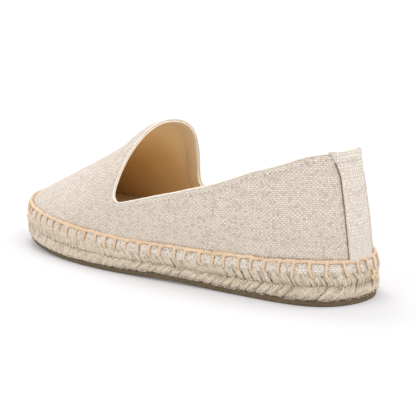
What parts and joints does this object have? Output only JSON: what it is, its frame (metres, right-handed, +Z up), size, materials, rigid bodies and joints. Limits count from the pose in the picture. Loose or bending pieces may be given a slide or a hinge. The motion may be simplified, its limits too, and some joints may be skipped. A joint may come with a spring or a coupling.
{
  "type": "espadrille",
  "caption": "Left flat slip-on espadrille: open canvas upper with a high tongue, blanket-stitched to a braided jute sole with a thin rubber outsole.",
  "frame": {"origin": "centre of the bounding box, at the floor", "axes": "toe towards -Y, heel towards +Y, the shoe's left (outer side) towards +X, +Z up; the shoe stands on its sole"},
  "size_m": [0.0868, 0.2522, 0.0781],
  "materials": {
    "outsole_rubber": "matt, fine texture",
    "jute": "coarse plaited jute",
    "sock_lining": "matt tan lining",
    "canvas": "plain weave flecked canvas",
    "canvas_strip": "plain weave canvas"
  },
  "bodies": {
    "root": {"outsole": "outsole_rubber", "jute_sole": "jute", "insole": "sock_lining", "upper": "canvas", "heel_strip": "canvas_strip"}
  },
  "joints": []
}
